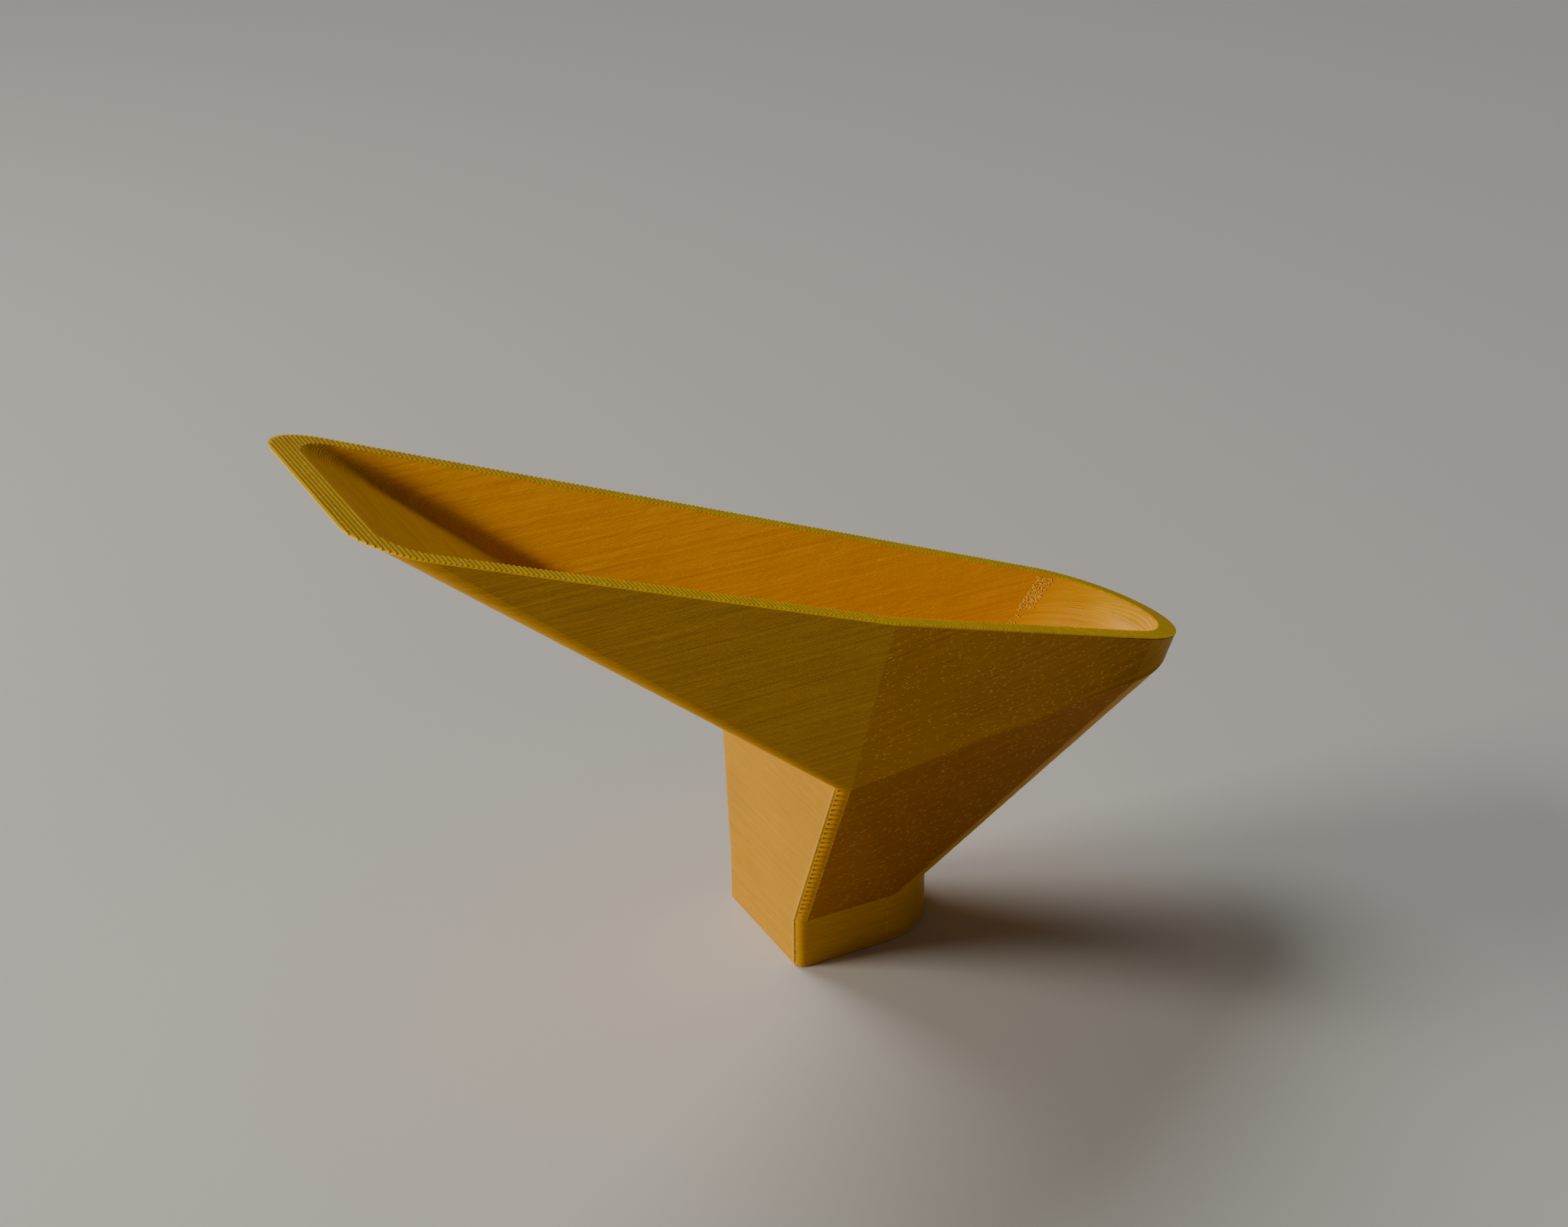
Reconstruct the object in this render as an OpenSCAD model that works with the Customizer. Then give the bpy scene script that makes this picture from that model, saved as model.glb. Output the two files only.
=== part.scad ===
// One-piece printed funnel: a long sloping hopper that drains through a short
// D-shaped spigot. The far side is one upright plane from spigot to rim, and
// the near side flares out. All sizes in millimetres, +Z up, spigot on z = 0.

/* [Spigot] */
// Width across the two straight sides
spigot_w = 18; // [12:0.5:30]
// Length from the flat end to the round end
spigot_len = 20.5; // [16:0.1:36]
// Height of the upright collar
spigot_h = 6.1; // [3:0.1:20]
// Corner radius at the flat end
spigot_corner_r = 1.1; // [0.6:0.1:3]

/* [Throat] */
// Height of the ridge where the hopper floor starts
ridge_z = 29.4; // [20:0.1:50]
// Position of the ridge behind the spigot's centre
ridge_x = -11.3; // [-20:0.1:-8]
// How far the throat flares to the near side at the ridge
ridge_near = 20.5; // [12:0.1:32]
// Corner radius at the ridge
ridge_corner_r = 1.2; // [0.6:0.1:3]
// Centre of the round nose at ridge height
throat_nose_x = 28.2; // [14:0.1:40]
// Radius of the nose at ridge height
throat_nose_r = 12; // [8:0.1:16]

/* [Mouth] */
// Height of the mouth plane above the spigot's centre
mouth_z = 46; // [34:0.1:70]
// Slope of the mouth plane, rise per length toward the flat end
mouth_slope = 0.388; // [0:0.002:0.6]
// Position of the flat end
mouth_end_x = -60.6; // [-100:0.1:-25]
// Near edge at the flat end
mouth_near = 24.6; // [14:0.1:40]
// Rim knee, along the length
knee_x = -5.6; // [-25:0.1:14]
// Rim knee, toward the near side
knee_near = 21.7; // [14:0.1:36]
// Centre of the round nose at the rim
mouth_nose_x = 31.5; // [14:0.1:50]
// Half width of the nose at the rim
mouth_nose_r = 10.6; // [7:0.1:16]
// Length of the nose against its half width
mouth_nose_stretch = 1.09; // [0.9:0.01:1.3]
// Corner radius at the near end of the flat end
mouth_near_r = 5.9; // [3:0.1:9]
// Corner radius at the far end of the flat end
mouth_far_r = 7; // [3:0.1:9]

/* [Wall] */
// Wall thickness, measured level
wall = 2; // [1.2:0.1:4]
// Level thickness of the floor where it meets the rim
floor_end = 3; // [2:0.1:6]

/* [Hidden] */
far_y = spigot_w / 2;
flat_x = -spigot_len / 2;
round_x = spigot_len / 2 - spigot_w / 2;
inner_corner_r = 0.6;
corner_n = 6;
nose_n = 16;
fan_n = 4;
$fn = 64;
skin = [0.86, 0.62, 0.07];

// Profile: [flat x, near y, far y, near corner r, far corner r,
//           nose centre x, nose half width, nose stretch, first point of the
//           side that runs to the nose, kind of level: 1 tilted, else z]
function corner(r, t) = max(r - t, inner_corner_r);
function level_spigot(t) = [flat_x + t, -far_y + t, far_y - t,
    t > 0 ? inner_corner_r : spigot_corner_r, t > 0 ? inner_corner_r : spigot_corner_r,
    round_x, far_y - t, 1, spigot_h];
function level_ridge(t) = [ridge_x + t, -ridge_near + t, far_y - t,
    t > 0 ? inner_corner_r : ridge_corner_r, t > 0 ? inner_corner_r : ridge_corner_r,
    throat_nose_x, throat_nose_r - t, 1, ridge_z];
function level_mouth(t) = [mouth_end_x + (t > 0 ? floor_end : 0), -mouth_near + t, far_y - t,
    corner(mouth_near_r, t), corner(mouth_far_r, t),
    mouth_nose_x, mouth_nose_r - t, mouth_nose_stretch, -1];

// Lift a plan point onto its level, flat or on the tilted mouth plane
function lift(p, q) = [q[0], q[1], p[8] < 0 ? mouth_z - mouth_slope * q[0] : p[8]];
function nose_c(p) = [p[5], p[2] - p[6]];

// Where the straight side from point q touches the nose, as an angle
function touch(p, q) = let (
    d = [(nose_c(p)[0] - q[0]) / p[7], nose_c(p)[1] - q[1]])
    atan2(d[1], d[0]) - acos(-p[6] / norm(d));
function nose_at(p, a) = lift(p, nose_c(p) + [p[6] * p[7] * cos(a), p[6] * sin(a)]);
function nose_arc(p, a0) = [for (i = [0 : nose_n]) nose_at(p, a0 + (90 - a0) * i / nose_n)];

// Flat end with its two corners, from the far side round to the near side
function end_arc(p) = concat(
    [for (i = [0 : corner_n]) let (a = 90 + 90 * i / corner_n)
        lift(p, [p[0] + p[4] * (1 + cos(a)), p[2] - p[4] * (1 - sin(a))])],
    [for (i = [0 : corner_n]) let (a = 180 + 90 * i / corner_n)
        lift(p, [p[0] + p[3] * (1 + cos(a)), p[1] + p[3] * (1 + sin(a))])]);
function near_start(p) = lift(p, [p[0] + p[3], p[1]]);
function far_end(p) = lift(p, [p[0] + p[4], p[2]]);
function knee(t) = lift(level_mouth(t), [knee_x, -knee_near + t]);

ridge_touch = touch(level_ridge(0), near_start(level_ridge(0)));
mouth_touch = touch(level_mouth(0), knee(0));

// Keep a triangle only when its three corners differ
function tri(v, a, b, c) =
    (norm(v[a] - v[b]) < 1e-6 || norm(v[b] - v[c]) < 1e-6 || norm(v[a] - v[c]) < 1e-6)
    ? [] : [[a, b, c]];
function quad(v, a, b, c, d) = concat(tri(v, a, b, c), tri(v, a, c, d));

// Closed wall between a lower and an upper edge. Each edge is a row of outer
// points and a row of inner points, running the same way with equal counts.
module wall_panel(lo, li, uo, ui) {
    n = len(lo);
    v = concat(lo, li, uo, ui);
    polyhedron(points = v, faces = [
        for (i = [0 : n - 2]) each concat(
            quad(v, i + 1, i, 2 * n + i, 2 * n + i + 1),
            quad(v, n + i, n + i + 1, 3 * n + i + 1, 3 * n + i),
            quad(v, i, i + 1, n + i + 1, n + i),
            quad(v, 2 * n + i + 1, 2 * n + i, 3 * n + i, 3 * n + i + 1)),
        each quad(v, 0, n, 3 * n, 2 * n),
        each quad(v, n - 1, 3 * n - 1, 4 * n - 1, 2 * n - 1)]);
}

// Edge of the throat's near wall: the straight spigot side, then the part of
// the round end that lies under the flared panel
function spigot_near_edge(t) = let (p = level_spigot(t)) concat(
    [near_start(p)],
    [for (i = [0 : fan_n]) nose_at(p, -90 + (ridge_touch + 90) * i / fan_n)],
    [nose_at(p, ridge_touch)]);
function ridge_near_edge(t) = let (p = level_ridge(t)) concat(
    [for (i = [0 : fan_n + 1]) near_start(p)], [nose_at(p, ridge_touch)]);

module spigot_outline(t, r) {
    x0 = flat_x + t;
    h = far_y - t;
    translate([round_x, 0]) circle(r = h);
    translate([x0, -h + r]) square([round_x - x0, 2 * h - 2 * r]);
    translate([x0 + r, -h]) square([round_x - x0 - r, 2 * h]);
    for (s = [-1, 1]) translate([x0 + r, s * (h - r)]) circle(r = r, $fn = 24);
}

module spigot() {
    color(skin) difference() {
        linear_extrude(height = spigot_h) spigot_outline(0, spigot_corner_r);
        translate([0, 0, -1]) linear_extrude(height = spigot_h + 2)
            spigot_outline(wall, inner_corner_r);
    }
}

module throat_back_wall() {
    color(skin) wall_panel(end_arc(level_spigot(0)), end_arc(level_spigot(wall)),
        end_arc(level_ridge(0)), end_arc(level_ridge(wall)));
}

module throat_near_wall() {
    color(skin) wall_panel(spigot_near_edge(0), spigot_near_edge(wall),
        ridge_near_edge(0), ridge_near_edge(wall));
}

module throat_nose() {
    color(skin) wall_panel(nose_arc(level_spigot(0), ridge_touch),
        nose_arc(level_spigot(wall), ridge_touch),
        nose_arc(level_ridge(0), ridge_touch), nose_arc(level_ridge(wall), ridge_touch));
}

module throat_far_wall() {
    color(skin) wall_panel(
        [nose_at(level_spigot(0), 90), far_end(level_spigot(0))],
        [nose_at(level_spigot(wall), 90), far_end(level_spigot(wall))],
        [nose_at(level_ridge(0), 90), far_end(level_ridge(0))],
        [nose_at(level_ridge(wall), 90), far_end(level_ridge(wall))]);
}

module hopper_floor() {
    color(skin) wall_panel(end_arc(level_ridge(0)), end_arc(level_ridge(wall)),
        end_arc(level_mouth(0)), end_arc(level_mouth(wall)));
}

module hopper_near_wall_rear() {
    color(skin) wall_panel(
        [near_start(level_ridge(0)), near_start(level_ridge(0))],
        [near_start(level_ridge(wall)), near_start(level_ridge(wall))],
        [near_start(level_mouth(0)), knee(0)],
        [near_start(level_mouth(wall)), knee(wall)]);
}

module hopper_near_wall_front() {
    color(skin) wall_panel(
        [near_start(level_ridge(0)), nose_at(level_ridge(0), ridge_touch)],
        [near_start(level_ridge(wall)), nose_at(level_ridge(wall), ridge_touch)],
        [knee(0), nose_at(level_mouth(0), mouth_touch)],
        [knee(wall), nose_at(level_mouth(wall), mouth_touch)]);
}

module hopper_nose() {
    color(skin) wall_panel(nose_arc(level_ridge(0), ridge_touch),
        nose_arc(level_ridge(wall), ridge_touch),
        nose_arc(level_mouth(0), mouth_touch), nose_arc(level_mouth(wall), mouth_touch));
}

module hopper_far_wall() {
    color(skin) wall_panel(
        [nose_at(level_ridge(0), 90), far_end(level_ridge(0))],
        [nose_at(level_ridge(wall), 90), far_end(level_ridge(wall))],
        [nose_at(level_mouth(0), 90), far_end(level_mouth(0))],
        [nose_at(level_mouth(wall), 90), far_end(level_mouth(wall))]);
}

spigot();
throat_back_wall();
throat_near_wall();
throat_nose();
throat_far_wall();
hopper_floor();
hopper_near_wall_rear();
hopper_near_wall_front();
hopper_nose();
hopper_far_wall();
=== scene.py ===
"""Looks of the printed offset hopper funnel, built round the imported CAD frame."""
import math

import bmesh
import bpy
import numpy as np
from mathutils import Matrix, Vector


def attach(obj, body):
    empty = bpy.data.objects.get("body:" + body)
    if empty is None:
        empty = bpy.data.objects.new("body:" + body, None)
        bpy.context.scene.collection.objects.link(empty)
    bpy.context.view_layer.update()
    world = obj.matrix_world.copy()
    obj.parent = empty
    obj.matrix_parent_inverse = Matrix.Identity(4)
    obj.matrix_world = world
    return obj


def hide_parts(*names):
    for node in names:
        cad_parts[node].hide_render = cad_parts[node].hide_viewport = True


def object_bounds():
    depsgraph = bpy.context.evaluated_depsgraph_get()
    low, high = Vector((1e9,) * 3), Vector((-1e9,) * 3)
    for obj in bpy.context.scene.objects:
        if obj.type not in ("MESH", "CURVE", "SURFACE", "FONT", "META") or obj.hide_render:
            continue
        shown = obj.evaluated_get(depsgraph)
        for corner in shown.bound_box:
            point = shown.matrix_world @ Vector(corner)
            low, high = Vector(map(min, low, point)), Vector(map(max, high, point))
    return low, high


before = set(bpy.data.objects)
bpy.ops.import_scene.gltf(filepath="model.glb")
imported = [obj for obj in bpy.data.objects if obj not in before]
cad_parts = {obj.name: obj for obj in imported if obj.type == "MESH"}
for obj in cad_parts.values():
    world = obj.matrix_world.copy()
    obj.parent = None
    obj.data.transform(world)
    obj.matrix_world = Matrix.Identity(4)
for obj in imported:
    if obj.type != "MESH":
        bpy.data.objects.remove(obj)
cad_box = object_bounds()
MM = 0.001

# ---------------------------------------------------------------- dimensions, in mm, as in the CAD part
WALL, LAYER = 2.0, 0.2
HALF_LAYER = LAYER / 2
SPIGOT_H, RIDGE_Z, MOUTH_Z, SLOPE = 6.1, 29.4, 46.0, 0.388
FAR = 9.0
SPIGOT_LEN, SPIGOT_CORNER_R, INNER_R = 20.5, 1.1, 0.6
ROUND_X = SPIGOT_LEN / 2 - FAR
RIDGE_X, RIDGE_NEAR, RIDGE_CORNER_R = -11.3, 20.5, 1.2
THROAT_NOSE_X, THROAT_NOSE_R = 28.2, 12
END_X, END_T = -60.6, 3.0
MOUTH_NEAR, MOUTH_NEAR_R, MOUTH_FAR_R = 24.6, 5.9, 7.0
KNEE = (-5.6, -21.7)
NOSE_X, NOSE_R, NOSE_S = 31.5, 10.6, 1.09

# ---------------------------------------------------------------- size of the print's unevenness, in mm
SKIN, STRAND, VALLEY, WAVE, RIPPLE_DEPTH = 0.004, 0.09, 0.020, 0.012, 0.042
BEAD_PITCH, BEAD_DEPTH, CORNER_LINE = 4 * LAYER, 0.28, 0.06
LIP = 0.28
RIM_INSET = 0.035


def level_spigot(t):
    """Section at the top of the spigot, t inside the outer face."""
    r = INNER_R if t else SPIGOT_CORNER_R
    return dict(x=-SPIGOT_LEN / 2 + t, yn=-FAR + t, yf=FAR - t, rn=r, rf=r,
                nx=ROUND_X, nr=FAR - t, s=1.0, z=SPIGOT_H)


def level_ridge(t):
    """Section at the height of the ridge."""
    r = INNER_R if t else RIDGE_CORNER_R
    return dict(x=RIDGE_X + t, yn=-RIDGE_NEAR + t, yf=FAR - t, rn=r, rf=r,
                nx=THROAT_NOSE_X, nr=THROAT_NOSE_R - t, s=1.0, z=RIDGE_Z)


def level_mouth(t):
    """Section in the sloping plane of the mouth."""
    return dict(x=END_X + (END_T if t else 0), yn=-MOUTH_NEAR + t, yf=FAR - t,
                rn=MOUTH_NEAR_R - t, rf=MOUTH_FAR_R - t,
                nx=NOSE_X, nr=NOSE_R - t, s=NOSE_S, z=None)


def plane(x):
    """Height of the mouth plane."""
    return MOUTH_Z - SLOPE * x


def lift(p, x, y, z=None):
    return np.array([x, y, z if z is not None else (plane(x) if p["z"] is None else p["z"])], float)


def nose_at(p, a, z=None):
    a = math.radians(a)
    return lift(p, p["nx"] + p["nr"] * p["s"] * math.cos(a), p["yf"] - p["nr"] + p["nr"] * math.sin(a), z)


def near_start(p, z=None):
    return lift(p, p["x"] + p["rn"], p["yn"], z)


def far_end(p, z=None):
    return lift(p, p["x"] + p["rf"], p["yf"], z)


def knee(t):
    return lift(level_mouth(t), KNEE[0], KNEE[1] + t)


def touch(p, q):
    """Angle at which the straight side from q meets the nose."""
    d = ((p["nx"] - q[0]) / p["s"], p["yf"] - p["nr"] - q[1])
    return math.degrees(math.atan2(d[1], d[0]) - math.acos(-p["nr"] / math.hypot(*d)))


RIDGE_TOUCH = touch(level_ridge(0), near_start(level_ridge(0)))
MOUTH_TOUCH = touch(level_mouth(0), knee(0))


# ---------------------------------------------------------------- rows of stations along each edge
def seg(a, b, n):
    return [a + (b - a) * i / n for i in range(n + 1)]


def arc(p, a0, a1, n, z=None):
    return [nose_at(p, a0 + (a1 - a0) * i / n, z) for i in range(n + 1)]


N_CORNER, N_FLAT, N_ARC, N_EDGE, N_FAR = 9, 16, 48, 26, 44
NEAR_CORNER = N_CORNER + N_FLAT + 1  # station where the flat end turns into the near corner


def end_row(p, z=None):
    """Stations round the flat end, from the far side to the near side."""
    def at(cx, cy, r, a):
        a = math.radians(a)
        return lift(p, cx + r * math.cos(a), cy + r * math.sin(a), z)
    far = [at(p["x"] + p["rf"], p["yf"] - p["rf"], p["rf"], 90 + 90 * i / N_CORNER)
           for i in range(N_CORNER + 1)]
    near = [at(p["x"] + p["rn"], p["yn"] + p["rn"], p["rn"], 180 + 90 * i / N_CORNER)
            for i in range(N_CORNER + 1)]
    flat = seg(far[-1], near[0], N_FLAT)[1:-1]
    lip = near[0] + (far[-1] - near[0]) / np.linalg.norm(far[-1] - near[0]) * LIP
    return far + flat + [lip] + near


def spigot_loop(t, z):
    p = level_spigot(t)
    row = end_row(p, z)
    row += seg(near_start(p, z), nose_at(p, -90, z), 10)[1:]
    row += arc(p, -90, RIDGE_TOUCH, 4, z)[1:]
    row += arc(p, RIDGE_TOUCH, 90, N_ARC, z)[1:]
    row += seg(nose_at(p, 90, z), far_end(p, z), 12)[1:-1]
    return row


def rows_of(name, t):
    """Lower and upper row of stations of one CAD node's wall face."""
    s, r, m = level_spigot(t), level_ridge(t), level_mouth(t)
    if name == "spigot":
        return spigot_loop(t, 0.0), spigot_loop(t, SPIGOT_H)
    if name == "throat_back_wall":
        return end_row(s), end_row(r)
    if name == "throat_near_wall":
        lo = seg(near_start(s), nose_at(s, -90), 10) + arc(s, -90, RIDGE_TOUCH, 4)[1:]
        up = [near_start(r)] * len(lo) + seg(near_start(r), nose_at(r, RIDGE_TOUCH), N_EDGE)[1:]
        return lo + [nose_at(s, RIDGE_TOUCH)] * N_EDGE, up
    if name == "throat_nose":
        return arc(s, RIDGE_TOUCH, 90, N_ARC), arc(r, RIDGE_TOUCH, 90, N_ARC)
    if name == "throat_far_wall":
        return seg(nose_at(s, 90), far_end(s), N_FAR), seg(nose_at(r, 90), far_end(r), N_FAR)
    if name == "hopper_floor":
        return end_row(r), end_row(m)
    if name == "hopper_near_wall_rear":
        return [near_start(r)] * 37, seg(near_start(m), knee(t), 36)
    if name == "hopper_near_wall_front":
        return (seg(near_start(r), nose_at(r, RIDGE_TOUCH), N_EDGE),
                seg(knee(t), nose_at(m, MOUTH_TOUCH), N_EDGE))
    if name == "hopper_nose":
        return arc(r, RIDGE_TOUCH, 90, N_ARC), arc(m, MOUTH_TOUCH, 90, N_ARC)
    return seg(nose_at(r, 90), far_end(r), N_FAR), seg(nose_at(m, 90), far_end(m), N_FAR)


# ---------------------------------------------------------------- relief of the printed layers
LAYERS = np.arange(400)
rng = np.random.default_rng(11)
single, double, triple = (rng.random(LAYERS.size) for _ in range(3))
BAND = 0.45 * single + 0.35 * double[LAYERS // 2] + 0.20 * triple[LAYERS // 3]
RIPPLE_AT = np.arange(0, LAYERS.size, 2.6)
RIPPLE = np.interp(LAYERS, RIPPLE_AT, np.resize([0.1, 0.9, 0.3, 1.0, 0.0, 0.7], RIPPLE_AT.size))
PHASE = np.cumsum(rng.normal(0, 0.5, LAYERS.size))


def lerp(z, zs, vs):
    return float(np.interp(z, zs, vs))


def outward(x, y, z):
    """Level direction away from the middle line of the section at this height."""
    xa = lerp(z, (0, SPIGOT_H, RIDGE_Z, 69.5), (-4, -4, -4, -51))
    xb = lerp(z, (0, SPIGOT_H, RIDGE_Z, 46), (ROUND_X, ROUND_X, THROAT_NOSE_X, NOSE_X))
    ym = lerp(z, (0, SPIGOT_H, RIDGE_Z, 69.5), (0, 0, -5.5, -7.8))
    dx, dy = x - min(max(x, xa), xb), y - ym
    n = math.hypot(dx, dy) or 1.0
    return dx / n, dy / n


def depth(x, y, z, bead):
    """How far the surface sits inside the nominal wall face. A bead above 0 grooves it, below 0 raises it."""
    u = z / LAYER - 0.5
    k = int(math.floor(u))
    f = u - k
    k = max(k, 0)
    band = BAND[k] * (1 - f) + BAND[k + 1] * f
    ph = PHASE[k] * (1 - f) + PHASE[k + 1] * f
    e = (z / LAYER) % 1.0
    valley = (2 * abs(e - 0.5)) ** 2
    wave = (math.sin(0.42 * x + 0.9 * z + 0.31 * y + ph) * 0.5
            + math.sin(1.05 * x - 0.55 * z + 1.7 + 0.6 * ph) * 0.3)
    ripple = RIPPLE[k] * (1 - f) + RIPPLE[k + 1] * f
    d = SKIN + STRAND * band * (0.8 + 0.2 * math.sin(0.3 * x + ph)) + VALLEY * valley + WAVE * (0.8 + wave)
    d += RIPPLE_DEPTH * ripple * (0.6 + 0.4 * math.sin(0.16 * x + 0.5 * ph + 0.8))
    if bead > 0:
        fade = min(1.0, max(0.0, (z - SPIGOT_H - 0.2) / 2.0))
        d += bead * fade * BEAD_DEPTH * (0.5 - 0.5 * math.cos(2 * math.pi * z / BEAD_PITCH)) ** 2
    elif bead < 0:
        d += bead * CORNER_LINE
    return d


def relieve(p, side, bead=0.0):
    dx, dy = outward(*p)
    d = -side * depth(*p, bead)
    return np.array([p[0] + dx * d, p[1] + dy * d, p[2]])


class Shell:
    """Points and faces of one wall, gathered column by column."""

    def __init__(self):
        self.v, self.f = [], []

    def column(self, lo, up, side, cut, bead):
        """Points up one ruling line of a wall face, one at every half layer."""
        h = up[2] - lo[2]
        if cut:
            c = min(0.22, 0.05 * abs(h))
            top = lo + (up - lo) * (1 - c / h if h > 0.05 else 0.95)
        else:
            top = up
        pts = [lo]
        if h > 0.15:
            n0 = int(math.ceil((lo[2] + 0.03) / HALF_LAYER - 1e-6))
            n1 = int(math.floor((top[2] - 0.03) / HALF_LAYER + 1e-6))
            pts += [lo + (up - lo) * ((HALF_LAYER * n - lo[2]) / h) for n in range(n0, n1 + 1)]
        pts.append(top)
        start = len(self.v)
        self.v += [relieve(p, side, bead) for p in pts]
        return list(range(start, len(self.v))), [round(p[2], 4) for p in pts]

    def strip(self, a, b, flip=False):
        """Faces between two columns, paired where their heights agree."""
        (ia, ka), (ib, kb) = a, b
        i = j = 0
        while i < len(ia) - 1 or j < len(ib) - 1:
            if i < len(ia) - 1 and j < len(ib) - 1 and (
                    abs(ka[i + 1] - kb[j + 1]) < 1e-3 or (i == len(ia) - 2 and j == len(ib) - 2)):
                f = [ia[i], ib[j], ib[j + 1], ia[i + 1]]
                i, j = i + 1, j + 1
            elif j == len(ib) - 1 or (i < len(ia) - 1 and ka[i + 1] <= kb[j + 1]):
                f = [ia[i], ib[j], ia[i + 1]]
                i += 1
            else:
                f = [ia[i], ib[j], ib[j + 1]]
                j += 1
            self.f.append(f[::-1] if flip else f)


def place(name, me, material):
    """Add a mesh to the scene as a piece of the print."""
    me.materials.append(material)
    ob = bpy.data.objects.new(name, me)
    bpy.context.scene.collection.objects.link(ob)
    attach(ob, "root")
    return ob


def mesh_object(name, verts, faces, material, sharp=48.0):
    """Closed, cleaned mesh from points in mm."""
    me = bpy.data.meshes.new(name)
    me.from_pydata([tuple(c * MM for c in v) for v in verts], [], faces)
    bm = bmesh.new()
    bm.from_mesh(me)
    bmesh.ops.remove_doubles(bm, verts=bm.verts, dist=3e-6)
    bmesh.ops.dissolve_degenerate(bm, edges=bm.edges, dist=1e-7)
    # the rim's end strips leave a sliver open at the nose tip
    bmesh.ops.holes_fill(bm, edges=[e for e in bm.edges if e.is_boundary], sides=8)
    bmesh.ops.recalc_face_normals(bm, faces=bm.faces)
    bm.to_mesh(me)
    bm.free()
    me.polygons.foreach_set("use_smooth", [True] * len(me.polygons))
    me.set_sharp_from_angle(angle=math.radians(sharp))
    return place(name, me, material)


def build_wall(name, material, first=0, last=None, suffix=""):
    """Closed wall of one CAD node, or of its stations first to last."""
    shell = Shell()
    cut = name.startswith("hopper")
    closed = name == "spigot"
    sides = []
    for t, side in ((0.0, 1), (WALL, -1)):
        lo, up = rows_of(name, t)
        cols = []
        for i in range(first, len(lo) if last is None else last + 1):
            bead = 0.0
            j = i - NEAR_CORNER
            if side == 1 and name in ("throat_back_wall", "spigot") and 0 <= j <= N_CORNER:
                bead = -1.0 if j == 0 else (-0.5 if j == 1 else 0.0)
                if name == "throat_back_wall" and 3 <= j < N_CORNER:
                    bead = 1.0
            cols.append(shell.column(lo[i], up[i], side, cut, bead))
        sides.append(cols)
    outer, inner = sides
    n = len(outer)
    for i in range(n if closed else n - 1):
        j = (i + 1) % n
        shell.strip(outer[i], outer[j])
        shell.strip(inner[i], inner[j], True)
        for e in (0, -1):
            shell.f.append([outer[i][0][e], outer[j][0][e], inner[j][0][e], inner[i][0][e]])
    if not closed:
        for e in (0, -1):
            shell.strip(outer[e], inner[e])
    return mesh_object(name + suffix + "_printed", shell.v, shell.f, material)


# ---------------------------------------------------------------- stepped rim of the mouth
def near_y(x, t):
    """Near edge of the mouth at x."""
    m = level_mouth(t)
    kx, ky = KNEE[0], KNEE[1] + t
    cy = m["yf"] - m["nr"]
    tp = nose_at(m, MOUTH_TOUCH)
    if x < m["x"] + m["rn"]:
        dx = min(abs(x - m["x"] - m["rn"]), m["rn"])
        return m["yn"] + m["rn"] - math.sqrt(m["rn"] ** 2 - dx * dx)
    if x < kx:
        a = m["x"] + m["rn"]
        return m["yn"] + (ky - m["yn"]) * (x - a) / (kx - a)
    if x < tp[0]:
        return ky + (tp[1] - ky) * (x - kx) / (tp[0] - kx)
    return cy - m["nr"] * math.sqrt(max(0.0, 1 - ((x - NOSE_X) / (m["nr"] * NOSE_S)) ** 2))


def far_y(x, t):
    """Far edge of the mouth at x."""
    m = level_mouth(t)
    if x < m["x"] + m["rf"]:
        dx = min(abs(x - m["x"] - m["rf"]), m["rf"])
        return m["yf"] - m["rf"] + math.sqrt(m["rf"] ** 2 - dx * dx)
    if x < NOSE_X:
        return m["yf"]
    return m["yf"] - m["nr"] + m["nr"] * math.sqrt(max(0.0, 1 - ((x - NOSE_X) / (m["nr"] * NOSE_S)) ** 2))


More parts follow.
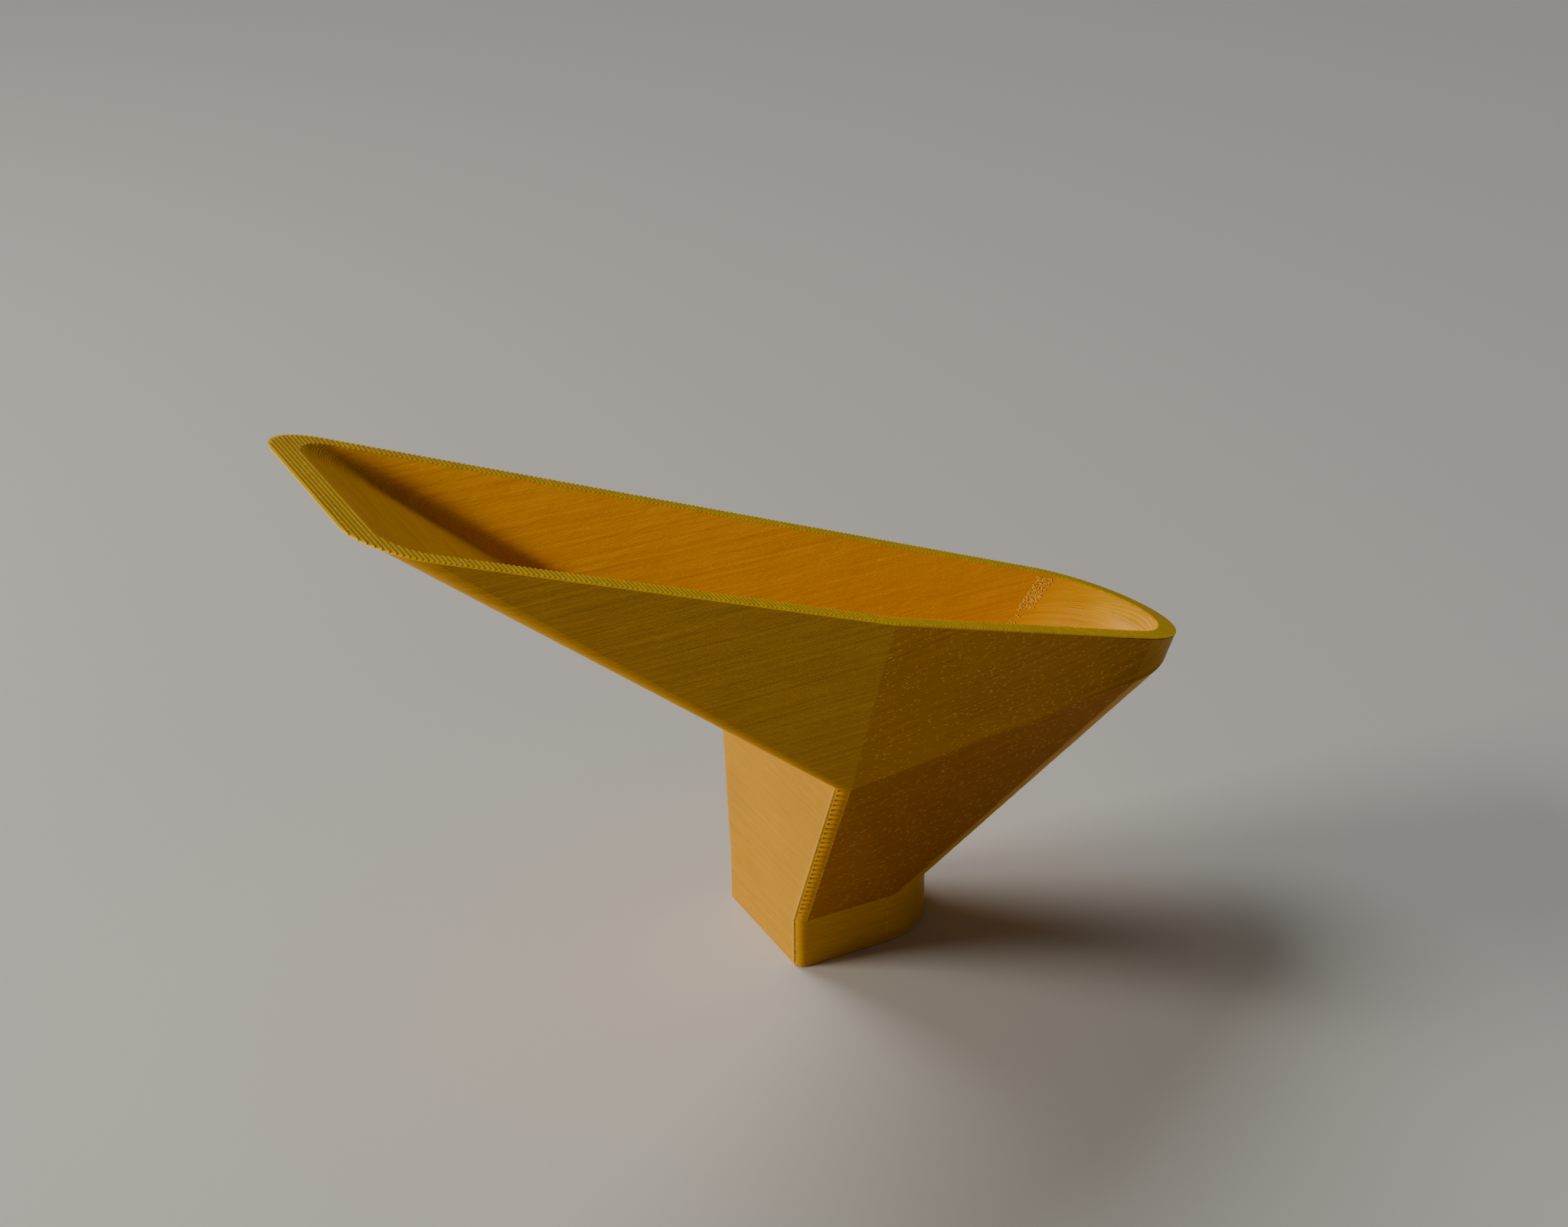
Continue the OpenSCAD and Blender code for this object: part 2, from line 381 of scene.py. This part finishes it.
def build_rim(material):
    """The cut rim, one slab between neighbouring x values, with a riser where each layer ends."""
    x_in = END_X + END_T
    tip_i, tip_o = NOSE_X + (NOSE_R - WALL) * NOSE_S, cad_box[1][0] / MM - 0.005
    ya, yb, yc = -MOUTH_NEAR + MOUTH_NEAR_R, FAR - MOUTH_FAR_R, FAR - NOSE_R
    k0, k1 = int(plane(tip_o) / LAYER) + 1, int(plane(END_X) / LAYER)
    steps = sorted((MOUTH_Z - LAYER * k) / SLOPE for k in range(k0, k1 + 1))
    xs = set(round(x, 5) for x in steps) | {END_X, x_in, round(NOSE_X, 5), round(tip_i, 5), round(tip_o, 5)}
    for a, b, n in ((END_X, END_X + 1.2, 14), (END_X + 1.2, -52.0, 48), (x_in, x_in + 0.8, 8)):
        xs |= {round(a + (b - a) * i / n, 5) for i in range(n + 1)}
    for r in (tip_o - NOSE_X, tip_i - NOSE_X):
        xs |= {round(NOSE_X + r * math.sin(math.radians(a)), 5) for a in np.linspace(0, 90, 40)}
    xs = sorted(xs)
    keep = [xs[0]]
    hard = {END_X, x_in, round(NOSE_X, 5), round(tip_i, 5), round(tip_o, 5)} | {round(x, 5) for x in steps}
    for x in xs[1:]:
        if x - keep[-1] < 0.012:
            if x in hard:
                keep[-1] = x if keep[-1] not in hard else keep[-1]
            continue
        keep.append(x)
    xs = keep
    v, f, index = [], [], {}

    def vert(x, y, z):
        key = (round(x, 4), round(y, 4), round(z, 4))
        if key not in index:
            index[key] = len(v)
            v.append(np.array([x, y, z]))
        return index[key]

    def bottom(x):
        return plane(x) - max(0.034, min(0.25, 0.05 * (plane(x) - RIDGE_Z) + 0.03))

    def tread(j):
        mid = 0.5 * (xs[j] + xs[j + 1])
        return LAYER * math.floor(plane(mid) / LAYER + 1e-6)

    def tops(j):
        """Heights at the two ends of slab j: level treads, flattened toward the plane round the nose."""
        if xs[j] < NOSE_X - 1e-4:
            return tread(j), tread(j)
        return tuple(plane(x) - (plane(x) - tread(j)) * max(0.06, (plane(x) - RIDGE_Z) / 4.4)
                     for x in (xs[j], xs[j + 1]))

    def ends(x, which):
        d_out = RIM_INSET * min(1.0, max(0.0, min(x - END_X - 1, tip_o - 1 - x)))
        d_in = RIM_INSET * min(1.0, max(0.0, min(x - x_in - 1, tip_i - 1 - x)))
        if which == "near":
            inner = ya if x < x_in - 1e-6 else (yc if x > tip_i - 1e-6 else near_y(x, WALL) - d_in)
            return near_y(x, 0) + d_out, inner
        if which == "far":
            inner = yb if x < x_in - 1e-6 else (yc if x > tip_i - 1e-6 else far_y(x, WALL) + d_in)
            return far_y(x, 0) - d_out, inner
        return ya, yb

    for which in ("near", "far", "end"):
        for j in range(len(xs) - 1):
            a, b = xs[j], xs[j + 1]
            if which == "end" and b > x_in + 1e-6:
                break
            (oa, ia), (ob, ib) = ends(a, which), ends(b, which)
            za, zb = tops(j)
            low = tops(j + 1)[0] if j + 2 < len(xs) else zb
            low_end = b >= x_in - 1e-6 and which == "end"
            if low_end:
                low = zb
            f.append([vert(a, oa, za), vert(b, ob, zb), vert(b, ib, zb), vert(a, ia, za)])
            f.append([vert(a, oa, bottom(a)), vert(a, ia, bottom(a)),
                      vert(b, ib, bottom(b)), vert(b, ob, bottom(b))])
            if low < zb - 1e-4:
                f.append([vert(b, ob, zb), vert(b, ob, low), vert(b, ib, low), vert(b, ib, zb)])

            def side(ya_, yb_):
                ring = [vert(a, ya_, bottom(a)), vert(b, yb_, bottom(b))]
                if low < zb - 1e-4:
                    ring.append(vert(b, yb_, low))
                f.append(ring + [vert(b, yb_, zb), vert(a, ya_, za)])
            if which != "end":
                side(oa, ob)
                if a >= x_in - 1e-6 and b <= tip_i + 1e-6:
                    side(ia, ib)
            elif j == 0:
                f.append([vert(a, oa, bottom(a)), vert(a, ia, bottom(a)), vert(a, ia, za), vert(a, oa, za)])
            if low_end:
                f.append([vert(b, ob, bottom(b)), vert(b, ib, bottom(b)), vert(b, ib, zb), vert(b, ob, zb)])
    faces = []
    for face in f:
        out = [i for n, i in enumerate(face) if i != face[n - 1]]
        if len(set(out)) >= 3:
            faces.append(out)
    return mesh_object("mouth_rim_steps", v, faces, material, sharp=30.0)


# ---------------------------------------------------------------- small blobs left by the nozzle
def build_blobs(name, spots, material):
    bm = bmesh.new()
    for (x, y, z), r, flat in spots:
        m = Matrix.Translation(Vector((x, y, z)) * MM) @ Matrix.Diagonal((r * MM, r * MM, flat * r * MM, 1))
        bmesh.ops.create_icosphere(bm, subdivisions=2, radius=1.0, matrix=m)
    me = bpy.data.meshes.new(name)
    bm.to_mesh(me)
    bm.free()
    me.polygons.foreach_set("use_smooth", [True] * len(me.polygons))
    return place(name, me, material)


def build_edge_bead(name, path, material):
    """The thin raised line down the neck's near corner, swelling a little at every other layer."""
    pts = []
    for a, b in zip(path, path[1:]):
        n = max(1, int(np.linalg.norm(b - a) / 0.1))
        pts += [a + (b - a) * i / n for i in range(n)]
    pts.append(path[-1])
    verts, faces, m = [], [], 8
    for i, p in enumerate(pts):
        r = 0.17 + 0.03 * math.cos(math.pi * p[2] / LAYER) + 0.02 * math.sin(1.9 * i)
        r *= min(1.0, 0.3 + 0.2 * min(i, len(pts) - 1 - i))
        for k in range(m):
            a = 2 * math.pi * k / m
            verts.append((p[0] + r * math.cos(a), p[1] + r * math.sin(a), p[2]))
    for i in range(len(pts) - 1):
        for k in range(m):
            q = (k + 1) % m
            faces.append([i * m + k, i * m + q, (i + 1) * m + q, (i + 1) * m + k])
    faces += [list(range(m)), list(range(len(verts) - m, len(verts)))]
    return mesh_object(name, verts, faces, material, sharp=60.0)


# ---------------------------------------------------------------- materials
# painted shade: tint multiplied into the colour in the grooves between layers
GROOVE_SHADE_TINT = (0.62, 0.56, 0.45, 1)
# lighter colour of the specks: a painted glint on small raised glossy spots
FLECK_GLINT_COLOUR = (1.0, 0.70, 0.14, 1)


def plastic(name, base, speckle_and_glint=0.0, ripple=0.0, rough=0.42, grain=1.0, shine=0.30):
    """Printed filament: level ribs with painted shade in their grooves, streaks, ripples, fine grain and
    bright specks with a painted glint.
    """
    mat = bpy.data.materials.new(name)
    mat.use_nodes = True
    nt = mat.node_tree
    nt.nodes.clear()

    def new(kind, **kw):
        n = nt.nodes.new(kind)
        for k, val in kw.items():
            if k.startswith("in_"):
                n.inputs[k[3:].replace("_", " ")].default_value = val
            else:
                setattr(n, k, val)
        return n

    def link(a, b):
        nt.links.new(a, b)

    def math_node(op, a, b=None, clamp=False):
        n = nt.nodes.new("ShaderNodeMath")
        n.operation = op
        n.use_clamp = clamp
        for i, s in enumerate((a, b)):
            if s is None:
                continue
            if isinstance(s, (int, float)):
                n.inputs[i].default_value = s
            else:
                link(s, n.inputs[i])
        return n.outputs[0]

    out = new("ShaderNodeOutputMaterial")
    bsdf = new("ShaderNodeBsdfPrincipled")
    link(bsdf.outputs[0], out.inputs[0])
    co = new("ShaderNodeTexCoord").outputs["Object"]
    sep = new("ShaderNodeSeparateXYZ")
    link(co, sep.inputs[0])
    z = sep.outputs[2]

    # one strand per layer: a rounded rib every layer of height
    ribs = math_node("ABSOLUTE", math_node("SINE", math_node("MULTIPLY", z, math.pi / (LAYER * MM))))

    # strands lie in long level streaks: noise squeezed along the height
    streak_map = new("ShaderNodeMapping")
    streak_map.inputs["Scale"].default_value = (90, 90, 2600)
    link(co, streak_map.inputs[0])
    streak = new("ShaderNodeTexNoise", in_Scale=1.0, in_Detail=3.0, in_Roughness=0.6)
    link(streak_map.outputs[0], streak.inputs["Vector"])

    broad = new("ShaderNodeTexNoise", in_Scale=140.0, in_Detail=3.0, in_Roughness=0.55)
    link(co, broad.inputs["Vector"])

    wave_map = new("ShaderNodeMapping")
    wave_map.inputs["Scale"].default_value = (260, 260, 900)
    wave_map.inputs["Rotation"].default_value = (0, math.radians(4), 0)
    link(co, wave_map.inputs[0])
    waves = new("ShaderNodeTexNoise", in_Scale=1.0, in_Detail=2.0, in_Roughness=0.5, in_Distortion=0.6)
    link(wave_map.outputs[0], waves.inputs["Vector"])

    grain_n = new("ShaderNodeTexNoise", in_Scale=5200.0, in_Detail=2.0, in_Roughness=0.6)
    link(co, grain_n.inputs["Vector"])

    spot_map = new("ShaderNodeMapping")
    spot_map.inputs["Scale"].default_value = (1300, 1300, 2900)
    link(co, spot_map.inputs[0])
    spots = new("ShaderNodeTexVoronoi", in_Scale=1.0, in_Randomness=1.0)
    link(spot_map.outputs[0], spots.inputs["Vector"])
    glint = math_node("SUBTRACT", 1.0, math_node("MULTIPLY", spots.outputs["Distance"], 2.7), clamp=True)
    pick = new("ShaderNodeTexNoise", in_Scale=1100.0, in_Detail=1.0)
    link(co, pick.inputs["Vector"])
    chosen = math_node("GREATER_THAN", pick.outputs["Fac"], 0.47)
    glint = math_node("MULTIPLY", glint, chosen)

    # colour: golden filament, browner in streaks, with painted shade in the layer grooves, a little greener
    # and darker there
    ramp = new("ShaderNodeValToRGB")
    ramp.color_ramp.elements[0].position = 0.34
    ramp.color_ramp.elements[0].color = tuple(c * s for c, s in zip(base, (0.87, 0.84, 0.80))) + (1,)
    ramp.color_ramp.elements[1].position = 0.68
    ramp.color_ramp.elements[1].color = tuple(min(1, c * s) for c, s in zip(base, (1.05, 1.07, 1.10))) + (1,)
    mixed = math_node("ADD", math_node("MULTIPLY", streak.outputs["Fac"], 0.74),
                      math_node("MULTIPLY", broad.outputs["Fac"], 0.26))
    link(mixed, ramp.inputs[0])
    # painted shade: darker, greener colour where the layers meet
    groove_shade_mix = new("ShaderNodeMix", data_type="RGBA", blend_type="MULTIPLY")
    groove_shade_mask = new("ShaderNodeMapRange")
    groove_shade_mask.inputs["From Min"].default_value = 0.0
    groove_shade_mask.inputs["From Max"].default_value = 0.45
    groove_shade_mask.inputs["To Min"].default_value = 0.32
    groove_shade_mask.inputs["To Max"].default_value = 0.0
    link(ribs, groove_shade_mask.inputs["Value"])
    link(groove_shade_mask.outputs[0], groove_shade_mix.inputs[0])
    colours = [s for s in groove_shade_mix.inputs if s.type == "RGBA"]
    link(ramp.outputs[0], colours[0])
    colours[1].default_value = GROOVE_SHADE_TINT
    result = [s for s in groove_shade_mix.outputs if s.type == "RGBA"][0]
    # specks: raised glossy spots whose glint is painted in as a lighter colour
    fleck_glint = new("ShaderNodeMix", data_type="RGBA", blend_type="MIX")
    link(math_node("MULTIPLY", glint, speckle_and_glint, True), fleck_glint.inputs[0])
    colours = [s for s in fleck_glint.inputs if s.type == "RGBA"]
    link(result, colours[0])
    colours[1].default_value = FLECK_GLINT_COLOUR
    link([s for s in fleck_glint.outputs if s.type == "RGBA"][0], bsdf.inputs["Base Color"])

    # roughness: satin strands, rougher streaks, small glossy specks
    r = math_node("ADD", math_node("MULTIPLY", streak.outputs["Fac"], 0.22), rough - 0.11)
    r = math_node("SUBTRACT", r, math_node("MULTIPLY", glint, 0.08 * speckle_and_glint))
    link(r, bsdf.inputs["Roughness"])
    bsdf.inputs["IOR"].default_value = 1.47
    bsdf.inputs["Specular IOR Level"].default_value = shine
    bsdf.inputs["Coat Weight"].default_value = 0.05
    bsdf.inputs["Coat Roughness"].default_value = 0.28

    # relief: ribs, level streaks, slow ripples, fine grain and raised specks
    h = math_node("MULTIPLY", ribs, 0.30)
    h = math_node("ADD", h, math_node("MULTIPLY", streak.outputs["Fac"], 0.55))
    h = math_node("ADD", h, math_node("MULTIPLY", waves.outputs["Fac"], ripple))
    h = math_node("ADD", h, math_node("MULTIPLY", grain_n.outputs["Fac"], 0.16 * grain))
    h = math_node("ADD", h, math_node("MULTIPLY", glint, 0.6 * speckle_and_glint))
    bump = new("ShaderNodeBump")
    bump.inputs["Strength"].default_value = 0.85
    bump.inputs["Distance"].default_value = 0.00009
    link(h, bump.inputs["Height"])
    link(bump.outputs[0], bsdf.inputs["Normal"])
    return mat


# One filament. The speckled and the shaded finishes are darker than it really is: painted shade, to offset
# light from the pale floor.
GOLD = (0.80, 0.385, 0.002)
smooth = plastic("filament_smooth", GOLD, speckle_and_glint=0.15, ripple=0.7, shine=0.20)
rippled = plastic("filament_rippled", GOLD, speckle_and_glint=0.25, ripple=1.6)
speckled_shaded = plastic("filament_speckled_shaded", (0.74, 0.305, 0.002), speckle_and_glint=0.9, ripple=0.9,
                   rough=0.50, grain=1.6, shine=0.16)
dull = plastic("filament_dull", GOLD, speckle_and_glint=0.2, ripple=0.6, rough=0.60, shine=0.08)
shaded = plastic("filament_shaded", (0.50, 0.175, 0.002), speckle_and_glint=0.6, ripple=0.9,
                 rough=0.52, grain=1.6, shine=0.12)
cut_rim = plastic("filament_rim", (0.66, 0.42, 0.004), speckle_and_glint=0.3, ripple=0.3, rough=0.55, shine=0.12)
# lighter, yellower filament for the seam beads and the neck's edge bead: a painted highlight
seam_highlight = plastic("filament_seam_highlight", (0.95, 0.58, 0.06), speckle_and_glint=0.6, ripple=0.0, rough=0.40)

FINISH = {
    "spigot": smooth, "throat_back_wall": smooth, "throat_near_wall": shaded, "throat_nose": smooth,
    "throat_far_wall": smooth, "hopper_floor": dull, "hopper_near_wall_rear": rippled,
    "hopper_near_wall_front": speckled_shaded, "hopper_nose": smooth, "hopper_far_wall": rippled,
}
# walls made in two pieces at a station, so that the inside light can reach only one of them
SPLIT = {"hopper_floor": (N_CORNER, "_far_corner", ""), "throat_nose": (14, "_near", "_far"),
         "hopper_nose": (14, "_near", "_far")}
walls = {}
for node, material in FINISH.items():
    if node in SPLIT:
        at, a, b = SPLIT[node]
        pair = (build_wall(node, material, 0, at, a), build_wall(node, material, at, None, b))
        for piece in pair:
            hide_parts(node)
        walls[node + a], walls[node + b] = pair
    else:
        walls[node] = build_wall(node, material)
        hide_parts(node)
rim = build_rim(cut_rim)

low, mid, top = (end_row(level_spigot(0), 0.15)[NEAR_CORNER], end_row(level_spigot(0))[NEAR_CORNER],
                 end_row(level_ridge(0))[NEAR_CORNER])
build_edge_bead("edge_bead_neck", [low, mid, top], seam_highlight)

blob = np.random.default_rng(5)
spots = [((ROUND_X + blob.normal(0, 0.05), 0.03 - FAR, LAYER * k + HALF_LAYER),
          0.10 + 0.06 * blob.random(), 0.75) for k in range(1, 30)]
build_blobs("seam_beads_spigot", spots, seam_highlight)
strip = []
for k in range(520):
    lower = k % 3 == 0
    a = 90 - (9 if lower else 13) * blob.random()
    p, q = (level_spigot(WALL), level_ridge(WALL)) if lower else (level_ridge(WALL), level_mouth(WALL))
    f = (0.45 + 0.53 * blob.random()) if lower else (0.02 + 0.88 * blob.random())
    strip.append((nose_at(p, a) * (1 - f) + nose_at(q, a) * f, 0.06 + 0.07 * blob.random(), 0.8))
nose_beads = build_blobs("seam_beads_nose", strip, seam_highlight)

# ---------------------------------------------------------------- floor, light and camera
floor_mat = bpy.data.materials.new("floor_pale")
floor_mat.use_nodes = True
fb = floor_mat.node_tree.nodes["Principled BSDF"]
fb.inputs["Base Color"].default_value = (0.70, 0.70, 0.69, 1)
fb.inputs["Roughness"].default_value = 0.9
fb.inputs["Specular IOR Level"].default_value = 0.2
me = bpy.data.meshes.new("floor")
# level out to 4 m, then a round sweep up to 0.5 m, so that low views see a pale wall too
FLOOR_SIDES, FLOOR_R, SWEEP_R, SWEEP_UP = 96, 4.0, 4.6, 0.5
rings = [(FLOOR_R, 0.0)] + [(FLOOR_R + (SWEEP_R - FLOOR_R) * math.sin(a), SWEEP_UP * (1 - math.cos(a)))
                            for a in np.linspace(0, math.pi / 2, 13)[1:]]
verts = [(r * math.cos(a), r * math.sin(a), up - 0.00002) for r, up in rings
         for a in np.linspace(0, 2 * math.pi, FLOOR_SIDES, endpoint=False)]
faces = [tuple(range(FLOOR_SIDES))]
for k in range(len(rings) - 1):
    lower, upper = k * FLOOR_SIDES, (k + 1) * FLOOR_SIDES
    for i in range(FLOOR_SIDES):
        q = (i + 1) % FLOOR_SIDES
        faces.append((lower + i, upper + i, upper + q, lower + q))
me.from_pydata(verts, [], faces)
me.polygons.foreach_set("use_smooth", [True] * len(me.polygons))
me.materials.append(floor_mat)
floor = bpy.data.objects.new("floor", me)
bpy.context.scene.collection.objects.link(floor)

world = bpy.data.worlds.new("studio")
bpy.context.scene.world = world
world.use_nodes = True
bg = world.node_tree.nodes["Background"]
bg.inputs[0].default_value = (1.0, 0.98, 0.95, 1)
bg.inputs[1].default_value = 0.04


def area(name, at, aim, size, power, colour):
    light = bpy.data.lights.new(name, "AREA")
    light.shape = "RECTANGLE"
    light.size, light.size_y = size
    light.energy = power
    light.color = colour
    ob = bpy.data.objects.new(name, light)
    ob.location = at
    ob.rotation_euler = (Vector(aim) - Vector(at)).to_track_quat("-Z", "Y").to_euler()
    bpy.context.scene.collection.objects.link(ob)
    return ob


area("key", (-0.58, 0.21, 0.27), (0, 0, 0.035), (0.26, 0.26), 2.9, (1.0, 0.93, 0.80))

sky = bpy.data.lights.new("back", "SUN")
sky.energy, sky.angle, sky.color = 1.45, math.radians(30), (1.0, 0.97, 0.92)
sky_ob = bpy.data.objects.new("back", sky)
sky_ob.rotation_euler = Vector((0.10, -0.42, -0.41)).to_track_quat("-Z", "Y").to_euler()
bpy.context.scene.collection.objects.link(sky_ob)

# a lighting device: it brightens only the far walls, the rim and the far parts of nose and floor
inside = area("inside", (-0.55, -0.31, 0.30), (0, 0, 0.045), (0.22, 0.22), 3.5, (1.0, 0.90, 0.66))
lit = bpy.data.collections.new("lit_inside")
for ob in (walls["hopper_far_wall"], walls["throat_far_wall"], walls["hopper_floor_far_corner"],
           walls["hopper_nose_far"], walls["throat_nose_far"], rim, nose_beads):
    lit.objects.link(ob)
inside.light_linking.receiver_collection = lit
inside.light_linking.blocker_collection = lit

cam = bpy.data.cameras.new("view")
cam.sensor_width = 36
cam.lens = 51.40
cam.clip_start, cam.clip_end = 0.01, 50
cam_ob = bpy.data.objects.new("view", cam)
right, upv = Vector((0.88486, -0.46579, -0.00770)), Vector((0.21068, 0.38537, 0.89839))
back = right.cross(upv)
m = Matrix((right, upv, back)).transposed().to_4x4()
m.translation = Vector((-0.108885, -0.195194, 0.147957))
cam_ob.matrix_world = m
bpy.context.scene.collection.objects.link(cam_ob)
bpy.context.scene.camera = cam_ob
